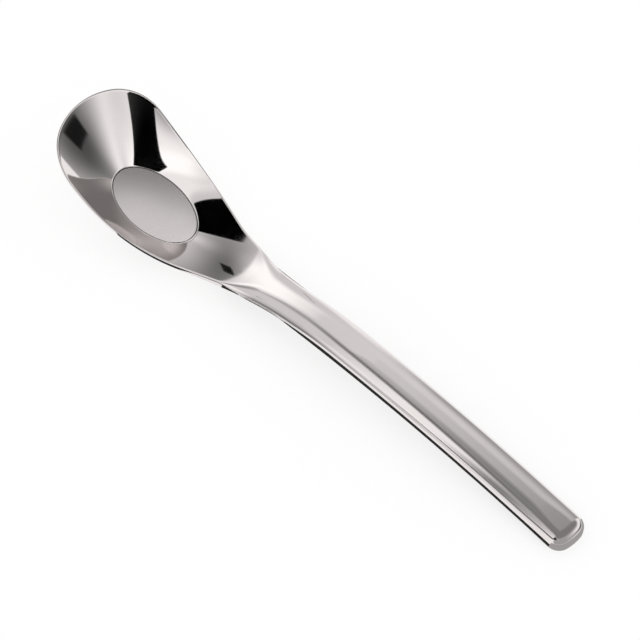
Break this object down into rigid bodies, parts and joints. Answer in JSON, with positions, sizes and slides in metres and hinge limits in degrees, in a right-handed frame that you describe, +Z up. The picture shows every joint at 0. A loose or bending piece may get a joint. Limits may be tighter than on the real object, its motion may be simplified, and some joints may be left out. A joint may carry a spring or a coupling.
{
  "type": "spoon",
  "caption": "Flat-bottomed soup spoon in polished steel, with a small flaring bowl that thickens into a heavy arched handle.",
  "frame": {"origin": "centre of the bounding box in X and Y, on the table that the spoon lies on", "axes": "+X along the spoon from the bowl's tip towards the handle's end, +Y across it, +Z up from the table"},
  "size_m": [0.1704, 0.0314, 0.0217],
  "materials": {
    "steel": "mirror polished, with a satin floor in the bowl"
  },
  "bodies": {
    "root": {"spoon": "steel"}
  },
  "joints": []
}
